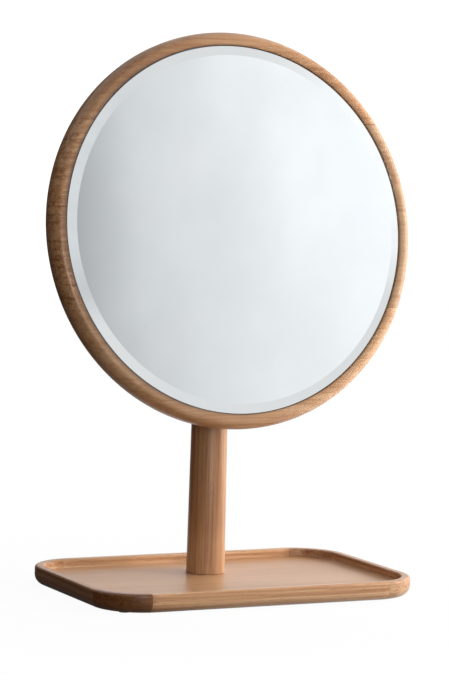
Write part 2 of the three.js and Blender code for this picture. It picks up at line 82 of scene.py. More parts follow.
# into how many faces round shapes are cut, and at which edges
RING_STEPS = 288
SECTION_STEPS = dict(nose=14, crown=24, heel=10)
POST_STEPS = 128
POST_ROWS = 12
CORNER_STEPS = 32
FLOOR_STEPS = 24
BORE_STEPS = 48
SCREW_STEPS = 32
POST_EDGE_STEPS = 8
LEAST_BOARD_STEPS = 8
ARC_STEPS = 10
SHARP = 30  # degrees between two faces, from which their edge is not smooth
BEVEL_SHARP = 4  # the same for the glass, whose bevel is shallow
SOFTENED_FROM = 40  # degrees between two faces, from which soften() bevels their edge

PIVOT = Vector(frame["joints"][0]["pos_m"])
TILTED = Matrix.Translation(PIVOT) @ Matrix.Rotation(-LEAN, 4, "X")
STANDING = Matrix.Translation((0, 0, FOOT_HEIGHT * MM))

# ---------------------------------------------------------------- camera

# angles in degrees, places in metres, the lens and the sensor's width in millimetres
CAMERA = dict(azimuth=-26.245, elevation=4.847, roll=1.63, distance=3.26566, aside=-0.00496,
              height=0.27587, lens=161.23887, sensor=36, sees_to=50)


def make_camera():
    """The camera, set by the outlines in the photo."""
    azimuth, elevation, roll = (math.radians(CAMERA[k]) for k in ("azimuth", "elevation", "roll"))
    back = Vector((math.sin(azimuth) * math.cos(elevation), -math.cos(azimuth) * math.cos(elevation),
                   math.sin(elevation)))
    right = Vector((0, 0, 1)).cross(back).normalized()
    up = back.cross(right)
    across = right * math.cos(roll) + up * math.sin(roll)
    upright = up * math.cos(roll) - right * math.sin(roll)
    data = bpy.data.cameras.new("camera")
    data.sensor_width = CAMERA["sensor"]
    data.lens = CAMERA["lens"]
    data.clip_end = CAMERA["sees_to"]
    camera = bpy.data.objects.new("camera", data)
    place = Vector((0, 0, CAMERA["height"])) + back * CAMERA["distance"] + right * CAMERA["aside"]
    turn = Matrix((across, upright, back)).transposed()
    camera.matrix_world = Matrix.Translation(place) @ turn.to_4x4()
    bpy.context.scene.collection.objects.link(camera)
    bpy.context.scene.camera = camera


make_camera()

# ---------------------------------------------------------------- node materials


def add_node(tree, kind, inputs=(), **settings):
    """A node with its settings, its inputs set to numbers or linked to sockets."""
    made = tree.nodes.new(kind)
    for key, value in settings.items():
        setattr(made, key, value)
    for key, value in dict(inputs).items():
        if isinstance(value, bpy.types.NodeSocket):
            tree.links.new(value, made.inputs[key])
        else:
            made.inputs[key].default_value = value
    return made


def math_node(tree, operation, *values):
    return add_node(tree, "ShaderNodeMath", dict(enumerate(values)), operation=operation).outputs[0]


def fitted(tree, value, low, high, to_low=0.0, to_high=1.0):
    """The value's range low to high, smoothly remapped."""
    inputs = {"Value": value, "From Min": low, "From Max": high, "To Min": to_low, "To Max": to_high}
    return add_node(tree, "ShaderNodeMapRange", inputs, interpolation_type="SMOOTHSTEP").outputs["Result"]


def blended(tree, share, a, b, mode="MIX"):
    made = add_node(tree, "ShaderNodeMix", data_type="RGBA", blend_type=mode)
    for index, value in ((0, share), (6, a), (7, b)):
        if isinstance(value, bpy.types.NodeSocket):
            tree.links.new(value, made.inputs[index])
        else:
            made.inputs[index].default_value = value
    return made.outputs[2]


def noise(tree, place, scale, detail=2.0, rough=0.5):
    """Noise in 0 to 1 with its own scale, in cells per metre, along each axis."""
    stretched = add_node(tree, "ShaderNodeMapping", {"Vector": place, "Scale": scale}).outputs[0]
    inputs = {"Vector": stretched, "Scale": 1.0, "Detail": detail, "Roughness": rough}
    return add_node(tree, "ShaderNodeTexNoise", inputs).outputs["Fac"]


def srgb(code):
    """The linear colour of a #rrggbb code."""
    parts = [int(code[i:i + 2], 16) / 255 for i in (1, 3, 5)]
    return [*(c / 12.92 if c <= 0.04045 else ((c + 0.055) / 1.055) ** 2.4 for c in parts), 1.0]


def new_material(name, **constants):
    """A material and its node tree, with the shader's constant sockets set."""
    made = bpy.data.materials.new(name)
    made.use_nodes = True
    shader = made.node_tree.nodes["Principled BSDF"]
    for key, value in constants.items():
        shader.inputs[key.replace("_", " ")].default_value = value
    return made, made.node_tree, shader


def object_place(tree, turn=(0, 0, 0), shift=(0, 0, 0)):
    """The object's own coordinates, turned and shifted."""
    coordinates = add_node(tree, "ShaderNodeTexCoord").outputs["Object"]
    inputs = {"Vector": coordinates, "Rotation": turn, "Location": shift}
    return add_node(tree, "ShaderNodeMapping", inputs).outputs[0]


def bump(tree, shader, height, distance, strength=1.0):
    """Gives a material a fine relief, at most a distance in metres deep."""
    made = add_node(tree, "ShaderNodeBump", {"Height": height, "Distance": distance, "Strength": strength})
    tree.links.new(made.outputs[0], shader.inputs["Normal"])


ALONG_X = (0, 0, 0)
ALONG_Y = (0, 0, math.pi / 2)
ALONG_Z = (0, math.pi / 2, 0)
OAK_DARK = srgb("#8c5a33")
OAK_MID = srgb("#c08d63")
OAK_LIGHT = srgb("#dfb388")
OAK_PORE = srgb("#683c20")
GROWTH_RING = 0.0021  # mean spacing, in metres
PITH_FAR = (0.06, 0.30)  # across the grain from the object's origin, in metres
PITH_UNDER = (0.30, 0.02)
PITH_NEAR = (0.05, 0.02)

# the looks of the wooden pieces: place along the log, tone, redness, how strongly the streaks show
# tone and redness paint in shade and light piece by piece: darker, redder on the left, paler on the right
WOODS = {
    "oak_floor": (1, 0.90, 0.02, 0.4),
    "oak_rail_front": (3, 1.10, -0.02, 1.0),
    "oak_rail_right": (8, 0.93, 0.0, 1.0),
    "oak_rail_back": (5, 1.14, -0.05, 1.0),
    "oak_rail_left": (11, 0.58, 0.10, 1.0),
    "oak_corner_back_right": (14, 0.72, 0.06, 1.0),
    "oak_corner_back_left": (17, 0.92, 0.02, 1.0),
    "oak_corner_front_left": (20, 0.27, 0.42, 1.0),
    "oak_corner_front_right": (23, 0.84, 0.0, 1.0),
    "oak_post": (7, 0.80, 0.0, 0.9),
    "oak_frame_top": (21, 0.88, 0.03, 0.65),
    "oak_frame_upper_right": (25, 1.04, -0.12, 0.45),
    "oak_frame_lower_right": (29, 1.02, -0.12, 0.45),
    "oak_frame_upper_left": (33, 1.02, 0.02, 1.6),
    "oak_frame_lower_left": (37, 0.84, 0.04, 1.5),
    "oak_frame_bottom": (41, 1.12, -0.07, 0.6),
    "beech_peg": (50, 1.1, 0.0, 1.0),
}


def growth_rings(tree, place):
    """Fine lines and broad bands that follow the growth rings about the pith, which wander a little."""
    parts = add_node(tree, "ShaderNodeSeparateXYZ", {"Vector": place}).outputs
    squares = math_node(tree, "ADD", math_node(tree, "MULTIPLY", parts[1], parts[1]),
                        math_node(tree, "MULTIPLY", parts[2], parts[2]))
    reach = math_node(tree, "SQRT", squares)
    for scale, share in (((1.6, 9.0, 9.0), 0.022), ((9.0, 60.0, 60.0), 0.0022)):
        wander = noise(tree, place, scale, 2.0)
        reach = math_node(tree, "ADD", reach, math_node(tree, "MULTIPLY", wander, share))
    rings = math_node(tree, "DIVIDE", reach, GROWTH_RING)
    years = add_node(tree, "ShaderNodeCombineXYZ", {0: rings}).outputs[0]
    fine = add_node(tree, "ShaderNodeTexNoise", {"Vector": years, "Scale": 0.55, "Detail": 2.0})
    broad = add_node(tree, "ShaderNodeTexNoise", {"Vector": years, "Scale": 0.16, "Detail": 1.0})
    return fitted(tree, fine.outputs["Fac"], 0.46, 0.72), broad.outputs["Fac"]


def wood(name, grain, pith=PITH_FAR):
    """Oiled wood: faint growth rings, with fibres, streaks, pores and flecks along its grain."""
    seed, tone_and_shade, redness, figure = WOODS[name]
    made, tree, shader = new_material(name, Coat_Weight=0.3, Coat_Roughness=0.28)
    place = object_place(tree, grain, (0.37 * seed, *pith))
    lines, bands = growth_rings(tree, place)
    fibres = noise(tree, place, (10.0, 560.0, 560.0), 3.0, 0.6)
    streaks = noise(tree, place, (3.2, 240.0, 240.0), 3.0, 0.6)
    cloud = noise(tree, place, (2.2, 12.0, 12.0), 2.0)
    pores = fitted(tree, noise(tree, place, (80.0, 1500.0, 1500.0), 1.0), 0.58, 0.72)
    flecks = fitted(tree, noise(tree, place, (160.0, 900.0, 60.0), 1.0), 0.66, 0.78)

    tint = math_node(tree, "MULTIPLY", cloud, 0.34)
    shares = ((fibres, 0.5, 0.46), (streaks, 0.5, 0.62), (bands, 0.5, 0.30), (lines, 0.3, -0.13))
    for part, middle, share in shares:
        swing = math_node(tree, "MULTIPLY", math_node(tree, "SUBTRACT", part, middle), share * figure)
        tint = math_node(tree, "ADD", tint, math_node(tree, "ADD", swing, share * middle))
    ramp = add_node(tree, "ShaderNodeValToRGB", {"Fac": tint})
    stops = ramp.color_ramp.elements
    stops[0].position, stops[0].color = 0.56, OAK_DARK
    stops[1].position, stops[1].color = 1.00, OAK_LIGHT
    middle = stops.new(0.80)
    middle.color = OAK_MID
    colour = blended(tree, math_node(tree, "MULTIPLY", pores, 0.34 * figure), ramp.outputs["Color"], OAK_PORE)
    colour = blended(tree, math_node(tree, "MULTIPLY", flecks, 0.12 * figure), colour, OAK_LIGHT)
    # the piece's tone and redness, with its painted shade and painted light
    shade = [tone_and_shade * (1 + redness), tone_and_shade, tone_and_shade * (1 - redness), 1.0]
    colour = blended(tree, 1.0, colour, shade, "MULTIPLY")
    edges = fitted(tree, add_node(tree, "ShaderNodeNewGeometry").outputs["Pointiness"], 0.53, 0.60)
    rubbed = math_node(tree, "MULTIPLY", edges, math_node(tree, "MULTIPLY", cloud, 0.35))
    tree.links.new(blended(tree, rubbed, colour, OAK_LIGHT), shader.inputs["Base Color"])
    worn = math_node(tree, "ADD", fibres, math_node(tree, "MULTIPLY", pores, 0.5))
    tree.links.new(fitted(tree, worn, 0.2, 1.2, 0.34, 0.56), shader.inputs["Roughness"])
    relief = math_node(tree, "SUBTRACT", math_node(tree, "MULTIPLY", fibres, 0.4), pores)
    bump(tree, shader, relief, 0.00006, 0.22)
    return made


def with_painted_shade_next_to_glass(look):
    """The frame's oak with painted shade: darker next to the glass on its left, and a painted dark line along
    the glass's edge that fades out towards the right.
    """
    tree = look.node_tree
    shader = tree.nodes["Principled BSDF"]
    moved = object_place(tree, (0, 0, 0), -PIVOT)
    upright = add_node(tree, "ShaderNodeMapping", {"Vector": moved, "Rotation": (LEAN, 0, 0)}).outputs[0]
    flat = add_node(tree, "ShaderNodeVectorMath", {0: upright, 1: (1, 0, 1)}, operation="MULTIPLY").outputs[0]
    radius = add_node(tree, "ShaderNodeVectorMath", {0: flat}, operation="LENGTH").outputs["Value"]
    across = add_node(tree, "ShaderNodeSeparateXYZ", {"Vector": flat}).outputs[0]
    # painted shade: a dark band next to the glass on the left, and a darker painted shadow line close to the
    # opening
    patches = fitted(tree, noise(tree, flat, (14, 14, 14), 3.0), 0.2, 0.8, 0.8, 1.1)
    near = fitted(tree, radius, RING["opening"] * MM, (RING["opening"] + GLASS_EDGE_SHADE["width"]) * MM, 1.0, 0.0)
    left = fitted(tree, across, -0.15, 0.04, 0.92, 0.0)
    painted_shade = math_node(tree, "MULTIPLY", math_node(tree, "MULTIPLY", near, left), patches)
    gap_shade_start, gap_shade_end = ((RING["opening"] + reach) * MM for reach in GLASS_EDGE_SHADE["gap_shade"])
    gap_shade = math_node(tree, "MULTIPLY", fitted(tree, radius, gap_shade_start, gap_shade_end, 1.0, 0.0),
                     fitted(tree, across, -0.17, 0.16, 0.9, 0.0))
    colour = blended(tree, painted_shade, shader.inputs["Base Color"].links[0].from_socket, srgb("#3f2412"))
    tree.links.new(blended(tree, gap_shade, colour, srgb("#1e110a")), shader.inputs["Base Color"])
    return look


def metal(name, colour, worn, rough, grain_scale=(900, 900, 900), relief=0.00001, metallic=1.0):
    """A metal whose colour and polish vary a little over the surface."""
    made, tree, shader = new_material(name, Metallic=metallic)
    place = object_place(tree)
    grain = noise(tree, place, grain_scale, 3.0, 0.6)
    patches = noise(tree, place, (90, 90, 90), 2.0)
    colours = blended(tree, fitted(tree, patches, 0.35, 0.75), srgb(colour), srgb(worn))
    tree.links.new(colours, shader.inputs["Base Color"])
    tree.links.new(fitted(tree, grain, 0.2, 0.8, rough - 0.08, rough + 0.12), shader.inputs["Roughness"])
    bump(tree, shader, grain, relief)
    return made


def soft(name, colour, other, rough, scale, relief, sheen=0.0):
    """A dull material such as felt, foam or nylon, mottled at its own scale."""
    made, tree, shader = new_material(name, Sheen_Weight=sheen)
    place = object_place(tree)
    fuzz = noise(tree, place, scale, 4.0, 0.7)
    patches = noise(tree, place, (40, 40, 40), 2.0)
    share = math_node(tree, "MULTIPLY", math_node(tree, "ADD", fuzz, patches), 0.5)
    colours = blended(tree, fitted(tree, share, 0.35, 0.65), srgb(colour), srgb(other))
    tree.links.new(colours, shader.inputs["Base Color"])
    tree.links.new(fitted(tree, fuzz, 0.2, 0.8, rough - 0.1, rough), shader.inputs["Roughness"])
    bump(tree, shader, fuzz, relief)
    return made


def mirror_material():
    """Silvered glass: bright, nearly perfectly smooth, with a breath of haze and a very slight waviness."""
    made, tree, shader = new_material("mirror_silvered", Metallic=1.0)
    place = object_place(tree)
    haze = noise(tree, place, (9, 9, 9), 4.0, 0.6)
    colours = blended(tree, fitted(tree, haze, 0.35, 0.7), srgb("#f2f5f6"), srgb("#eef2f4"))
    tree.links.new(colours, shader.inputs["Base Color"])
    tree.links.new(fitted(tree, haze, 0.3, 0.8, 0.015, 0.05), shader.inputs["Roughness"])
    wave = noise(tree, place, (3.5, 3.5, 3.5), 1.0)
    bump(tree, shader, wave, 0.0002, 0.5)
    return made


# ---------------------------------------------------------------- meshes


def arc(cx, cy, rx, ry, start, end, steps=ARC_STEPS):
    """Points on an elliptical arc between two angles in degrees."""
    angles = [math.radians(start + (end - start) * i / steps) for i in range(steps + 1)]
    return [(cx + rx * math.cos(a), cy + ry * math.sin(a)) for a in angles]


def without_repeats(points):
    """A closed outline's points, with none twice in a row."""
    kept = []
    for p in points:
        if not kept or math.dist(p, kept[-1]) > 1e-6:
            kept.append(p)
    if math.dist(kept[0], kept[-1]) <= 1e-6:
        kept.pop()
    return kept


def lofted(rows):
    """A solid through rows of points, each row a closed outline, with flat ends."""
    count = len(rows[0])
    points = [p for row in rows for p in row]
    faces = []
    for k in range(len(rows) - 1):
        for i in range(count):
            j = (i + 1) % count
            faces.append((k * count + i, k * count + j, (k + 1) * count + j, (k + 1) * count + i))
    faces.append(tuple(range(count)))
    faces.append(tuple(range(len(points) - count, len(points))))
    return points, faces


def turned(profile, steps):
    """A solid turned about +Z from (radius, height) points that start and end on the axis."""
    points, faces, rows = [], [], []
    for radius, height in profile:
        first = len(points)
        if radius < 1e-9:
            points.append((0, 0, height))
            rows.append([first] * steps)
            continue
        for i in range(steps):
            angle = 2 * math.pi * i / steps
            points.append((radius * math.cos(angle), radius * math.sin(angle), height))
        rows.append(list(range(first, first + steps)))
    for low, high in zip(rows, rows[1:]):
        for i in range(steps):
            j = (i + 1) % steps
            face = list(dict.fromkeys((low[i], low[j], high[j], high[i])))
            if len(face) > 2:
                faces.append(face)
    return points, faces


def new_mesh(name, points, faces, matrix, sharp=SHARP):
    """A mesh object from points in millimetres, smooth but for edges sharper than an angle in degrees."""
    mesh = bpy.data.meshes.new(name)
    mesh.from_pydata([[c * MM for c in p] for p in points], [], faces)
    shaped = bmesh.new()
    shaped.from_mesh(mesh)
    bmesh.ops.recalc_face_normals(shaped, faces=shaped.faces)
    shaped.to_mesh(mesh)
    shaped.free()
    made = bpy.data.objects.new(name, mesh)
    bpy.context.scene.collection.objects.link(made)
    made.matrix_world = matrix
    smooth_by_angle(mesh, sharp)
    return made


def smooth_by_angle(mesh, sharp=SHARP):
    """Shades a mesh smooth, but for edges sharper than an angle in degrees."""
    shaped = bmesh.new()
    shaped.from_mesh(mesh)
    for face in shaped.faces:
        face.smooth = True
    for edge in shaped.edges:
        edge.smooth = len(edge.link_faces) == 2 and edge.calc_face_angle() < math.radians(sharp)
    shaped.to_mesh(mesh)
    shaped.free()


def carve(piece, cutters):
    """Cuts the cutters out of a piece, and takes them away."""
    for cutter in cutters:
        cut = piece.modifiers.new("cut", "BOOLEAN")
        cut.operation = "DIFFERENCE"
        cut.solver = "EXACT"
        cut.object = cutter
    bpy.context.view_layer.update()
    carved = bpy.data.meshes.new_from_object(piece.evaluated_get(bpy.context.evaluated_depsgraph_get()))
    piece.modifiers.clear()
    piece.data = carved
    carved.name = piece.name
    smooth_by_angle(carved)
    for cutter in cutters:
        bpy.data.objects.remove(cutter)


def soften(piece, width):
    """Bevels a piece's sharp edges."""
    made = piece.modifiers.new("soften", "BEVEL")
    made.width = width * MM
    made.segments = 2
    made.limit_method = "ANGLE"
    made.angle_limit = math.radians(SOFTENED_FROM)
    made.harden_normals = True


def settle(piece, material, body, slot, *nodes):
    """Gives a piece its material and its body, and hides the nodes it stands for; slot is not used."""
    piece.data.materials.clear()
    piece.data.materials.append(material)
    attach(piece, body)
    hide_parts(*nodes)


# ---------------------------------------------------------------- the tray


def rim_section():
    """The rim's section as (across from the outer face, up) points."""
    high, width, cove = TRAY["height"], RIM["width"], RIM["cove"]
    outer, inner, under = RIM["outer_edge"], RIM["inner_edge"], RIM["underside"]
    return without_repeats([
        (under, 0), (RIM["ledge"], 0), (RIM["ledge"], RIM["seat"]), (width + cove, RIM["seat"]),
        *arc(width + cove, FLOOR["top"] + cove, cove, cove, -90, -180),
        *arc(width - inner, high - inner, inner, inner, 0, 90),
        *arc(outer, high - outer, outer, outer, 90, 180),
        *arc(under, under, under, under, 180, 270),
    ])


def place_in_world(piece):
    """Moves a piece's placing into its mesh, so that its texture coordinates are the object's."""
    matrix = piece.matrix_world.copy()
    piece.data.transform(matrix)
    piece.matrix_world = Matrix.Identity(4)


def make_rails(section, half_x, half_y, corner):
    """The four rails: a straight run with the start of a curve at each end, sawn square."""
    rails = [("front", half_y, half_x, 0, ALONG_X), ("right", half_x, half_y, 90, ALONG_Y),
             ("back", half_y, half_x, 180, ALONG_X), ("left", half_x, half_y, 270, ALONG_Y)]
    overrun = corner - TRAY["joint"] - JOINT_GAP
    for side, outer, half, turn, grain in rails:
        rows = []
        for share in (0, 0.25, 0.5, 0.75, 1):
            row = []
            for across, up in section:
                radius = corner - across
                end = math.acos(overrun / radius)
                angle = end + (math.pi / 2 - end) * share
                x = half - corner + radius * math.cos(angle)
                y = corner - outer - radius * math.sin(angle)
                row.append((x, y, up))
            rows.append(row)
        rows += [[(-x, y, z) for x, y, z in row] for row in reversed(rows)]
        matrix = STANDING @ Matrix.Rotation(math.radians(turn), 4, "Z")
        rail = new_mesh("rail_" + side, *lofted(rows), matrix)
        place_in_world(rail)
        settle(rail, wood("oak_rail_" + side, grain), "stand", "oak", "tray_rail_" + side)


def make_corners(section, half_x, half_y, corner):
    """The four corner blocks, each the rest of a quarter turn between two sawn faces."""
    blocks = [("back_right", 1, 1), ("back_left", -1, 1), ("front_left", -1, -1), ("front_right", 1, -1)]
    sawn = corner - TRAY["joint"] + JOINT_GAP
    for name, side_x, side_y in blocks:
        rows = []
        for i in range(CORNER_STEPS + 1):
            row = []
            for across, up in section:
                radius = corner - across
                start, end = math.asin(sawn / radius), math.acos(sawn / radius)
                angle = start + (end - start) * i / CORNER_STEPS
                x = half_x - corner + radius * math.cos(angle)
                y = half_y - corner + radius * math.sin(angle)
                row.append((side_x * x, side_y * y, up))
            rows.append(row)
        block = new_mesh("corner_" + name, *lofted(rows), STANDING)
        place_in_world(block)
        settle(block, wood("oak_corner_" + name, ALONG_X), "stand", "oak", "tray_corner_" + name)


def make_floor(half_x, half_y, corner):
    """The floor panel, let into the rim."""
    radius = corner - FLOOR["inset"]
    outline = []
    for side_x, side_y, start in ((1, 1, 0), (-1, 1, 90), (-1, -1, 180), (1, -1, 270)):
        x, y = side_x * (half_x - corner), side_y * (half_y - corner)
        outline += arc(x, y, radius, radius, start, start + 90, FLOOR_STEPS)
    rows = [[(x, y, up) for x, y in outline] for up in (FLOOR["bottom"], FLOOR["top"])]
    panel = new_mesh("floor_panel", *lofted(rows), STANDING)
    place_in_world(panel)
    settle(panel, wood("oak_floor", ALONG_X, PITH_UNDER), "stand", "oak", "tray_floor")


def make_tray():
    """The tray's rails, corner blocks and floor."""
    half_x, half_y, corner = TRAY["length"] / 2, TRAY["width"] / 2, TRAY["corner"]
    section = rim_section()
    make_rails(section, half_x, half_y, corner)
    make_corners(section, half_x, half_y, corner)
    make_floor(half_x, half_y, corner)


# ---------------------------------------------------------------- the post


def box_mesh(name, low, high, matrix):
    """A box between two corners."""
    (x0, y0, z0), (x1, y1, z1) = low, high
    rows = [[(x0, y0, z), (x1, y0, z), (x1, y1, z), (x0, y1, z)] for z in (z0, z1)]
    return new_mesh(name, *lofted(rows), matrix)


def bar_mesh(name, radius, start, end, matrix):
    """A round bar along +Z."""
    return new_mesh(name, *turned([(0, start), (radius, start), (radius, end), (0, end)], BORE_STEPS), matrix)


def make_post():
    """The tapered post, forked at its head for the bracket's tongue."""
    axis = PIVOT.z / MM
    foot, top, edge = POST["foot"] + FOOT_HEIGHT, axis + POST["above_axis"], POST["edge"]
    base, head, foot_edge = POST["base"], POST["top"], POST["foot_edge"]
    profile = [(0, foot), (base - foot_edge, foot), (base, foot + foot_edge)]
    for i in range(1, POST_ROWS + 1):
        share = i / POST_ROWS
        height = foot + foot_edge + (top - edge - foot - foot_edge) * share
        profile.append((base + (head - base) * share, height))
    profile += arc(head - edge, top - edge, edge, edge, 0, 90, POST_EDGE_STEPS)[1:] + [(0, top)]
    placed = Matrix.Translation((0, PIVOT.y, 0))
    post = new_mesh("post_turned", *turned(profile, POST_STEPS), placed)

    far = 2 * base
    sideways = Matrix.Translation(PIVOT) @ Matrix.Rotation(math.pi / 2, 4, "Y")
    half, bottom = SLOT["half"], axis - SLOT["below"]
    slot = box_mesh("slot", (-half, -far, bottom), (half, far, top + PAST_SLOT), placed)
    cutters = [slot, bar_mesh("bore", SLOT["bore"], -far, far, sideways)]
    for side in (-1, 1):
        cutters.append(bar_mesh("seat", SLOT["seat_radius"], side * SLOT["seat"], side * far, sideways))
    carve(post, cutters)
    place_in_world(post)
    soften(post, POST["fork_edge"])
    settle(post, wood("oak_post", ALONG_Z, PITH_NEAR), "stand", "oak", "post")


# ---------------------------------------------------------------- the mirror


def ring_section():
    """The frame's section as (radius, depth behind the front plane) points."""
    radius, opening, depth = RING["radius"], RING["opening"], RING["depth"]
    (nose_across, nose_deep), (crown_across, crown_deep), (heel_across, heel_deep) = (
        RING[k] for k in ("nose", "crown", "heel"))
    return without_repeats([
        (opening, RING["seat"]),
        *arc(opening + nose_across, nose_deep, nose_across, nose_deep, 180, 270, SECTION_STEPS["nose"]),
        *arc(radius - crown_across, crown_deep, crown_across, crown_deep, -90, 0, SECTION_STEPS["crown"]),
        *arc(radius - heel_across, depth - heel_deep, heel_across, heel_deep, 0, 90, SECTION_STEPS["heel"]),
        (RING["rebate"], depth), (RING["rebate"], RING["seat"]),
    ])


def ring_board(section, start, end, steps):
    """Part of the frame between two flat cuts: start and end give the cut's angle at a radius."""
    rows = []
    for i in range(steps + 1):
        row = []
        for radius, depth in section:
            angle = start(radius) + (end(radius) - start(radius)) * i / steps
            row.append((radius * math.cos(angle), depth - TO_FACE, radius * math.sin(angle)))
        rows.append(row)
    return lofted(rows)


def level(height, left=False):
    """The angle at which the frame, at some radius, crosses a height over its centre."""
    def angle(radius):
        rise = math.asin(height / radius)
        return math.pi - rise if left else rise
    return angle


def turned_by(angle, turn):
    """A cut whose angle is another's, turned on."""
    return lambda radius: angle(radius) + turn


def make_frame():
    """The frame, from six boards glued edge to edge with their grain level."""
    section = ring_section()
    low, middle, high = GLUE_LINES
    gap = JOINT_GAP
    boards = {
        "top": (level(high + gap), level(high + gap, True)),
        "upper_right": (level(middle + gap), level(high - gap)),
        "lower_right": (level(low + gap), level(middle - gap)),
        "upper_left": (level(high - gap, True), level(middle + gap, True)),
        "lower_left": (level(middle - gap, True), level(low + gap, True)),
        "bottom": (level(low - gap, True), turned_by(level(low - gap), 2 * math.pi)),
    }
    for name, (start, end) in boards.items():
        span = end(RING["radius"]) - start(RING["radius"])
        steps = max(LEAST_BOARD_STEPS, round(RING_STEPS * span / (2 * math.pi)))
        board = new_mesh("frame_" + name, *ring_board(section, start, end, steps), TILTED)
        place_in_world(board)
        # each board gets painted shade next to the glass
        look = with_painted_shade_next_to_glass(wood("oak_frame_" + name, ALONG_X))
        settle(board, look, "mirror", "oak", "frame_board_" + name)


def make_glass():
    """The glass, with a flat face inside a sloping bevel."""
    radius, bevel = GLASS["radius"], GLASS["bevel"]
    front, edge, back = (TO_FACE - GLASS[k] for k in ("front", "edge", "back"))
    profile = [(0, front), (radius - bevel, front), (radius, edge), (radius, back), (0, back)]
    facing = TILTED @ Matrix.Rotation(math.pi / 2, 4, "X")
    glass = new_mesh("glass_bevelled", *turned(profile, RING_STEPS), facing, BEVEL_SHARP)
    place_in_world(glass)
    settle(glass, mirror_material(), "mirror", "mirror", "mirror_glass")


# ---------------------------------------------------------------- the fixings


def cross_screw(name, node, body, sizes, drive, material):
    """A countersunk screw with a cross recess, in place of a plain one, its head's face out along `drive`."""
    head, shank, length = sizes["head"], sizes["shank"], sizes["length"]
    cone, edge = head - shank, SCREW["edge"]
    pitch, root, end, point = (shank * THREAD[k] for k in ("pitch", "root", "end", "point"))
    profile = [(0, 0), (head - edge, 0), (head, -edge), (shank, -cone - SCREW["neck"])]
    for i in range(int((length - point - cone) / pitch)):
        height = -cone - SCREW["lead"] - i * pitch
        profile += [(root, height), (shank, height - pitch / 2)]
    profile += [(end, -(length - point)), (0, -length)]
    low, high = (Vector(corner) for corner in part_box(node))
    centre = (low + high) / 2
    turn = Vector((0, 0, 1)).rotation_difference(drive).to_matrix().to_4x4()
    face = centre + drive * (length / 2 * MM)
    matrix = Matrix.Translation(face) @ turn
    screw = new_mesh(name, *turned(profile, SCREW_STEPS), matrix)
    reach, thick, deep = (head * RECESS[k] for k in ("reach", "thick", "deep"))
    arms = ((reach, thick), (thick, reach))
    carve(screw, [box_mesh("arm", (-x, -y, -deep), (x, y, PAST_HEAD), matrix) for x, y in arms])
    place_in_world(screw)
    settle(screw, material, body, "steel", node)


def make_screws(material):
    """The screws behind the mirror and under the tray."""
    downward = Vector((0, 0, -1))
    backward = (TILTED.to_3x3() @ Vector((0, 1, 0))).normalized()
    for i in range(1, 7):
        cross_screw(f"screw_backing_{i}", f"backing_screw_{i}", "mirror", BACKING_SCREW, backward, material)
    for i in range(1, 5):
        cross_screw(f"screw_bracket_{i}", f"bracket_screw_{i}", "mirror", BRACKET_SCREW, backward, material)
        cross_screw(f"screw_base_{i}", f"base_plate_screw_{i}", "stand", BASE_SCREW, downward, material)


def dress_nodes():
    """Materials, and softened edges, for the pieces that keep the frame's own shape."""
    zinc = metal("zinc_plated", "#a9abad", "#8f9294", 0.30)
    black = metal("black_coat", "#1c1c1d", "#262627", 0.42, (1600, 1600, 1600), relief=0.00003, metallic=0.0)
    brass = metal("brass_turned", "#b8924c", "#a07c3c", 0.28)
    nylon = soft("nylon_moulded", "#e6e2d6", "#dcd7c8", 0.55, (300, 300, 300), 0.00001)
    felt = soft("felt_pressed", "#5f5249", "#4a3f38", 0.98, (1800, 1800, 1800), 0.0002, sheen=0.4)
    foam = soft("foam_black", "#2c2c2d", "#232324", 0.95, (900, 900, 900), 0.00005)
    board = soft("board_black", "#2b2927", "#232120", 0.80, (900, 900, 900), 0.00004)
    peg = wood("beech_peg", ALONG_X)
    looks = {
        "rim_dowel": peg, "post_dowel": peg, "foot_pad": felt, "base_plate": black, "post_insert": brass,
        "post_bolt": zinc, "pivot_bush": brass, "friction_washer": nylon, "pivot_washer": black,
        "pivot_bolt": black, "pivot_cap_nut": black, "mirror_pad": foam, "backing_board": board,
        "tilt_bracket": black,
    }
    softened = {
        "tilt_bracket": 0.6, "pivot_washer": 0.2, "pivot_cap_nut": 0.25, "base_plate": 0.3, "foot_pad": 0.25,
    }
    for name, node in frame["nodes"].items():
        for start, look in looks.items():
            if name.startswith(start) and not name.startswith("base_plate_screw"):
                node.data.materials.clear()
                node.data.materials.append(look)
                if start in softened:
                    soften(node, softened[start])
    make_screws(zinc)


# ---------------------------------------------------------------- the studio


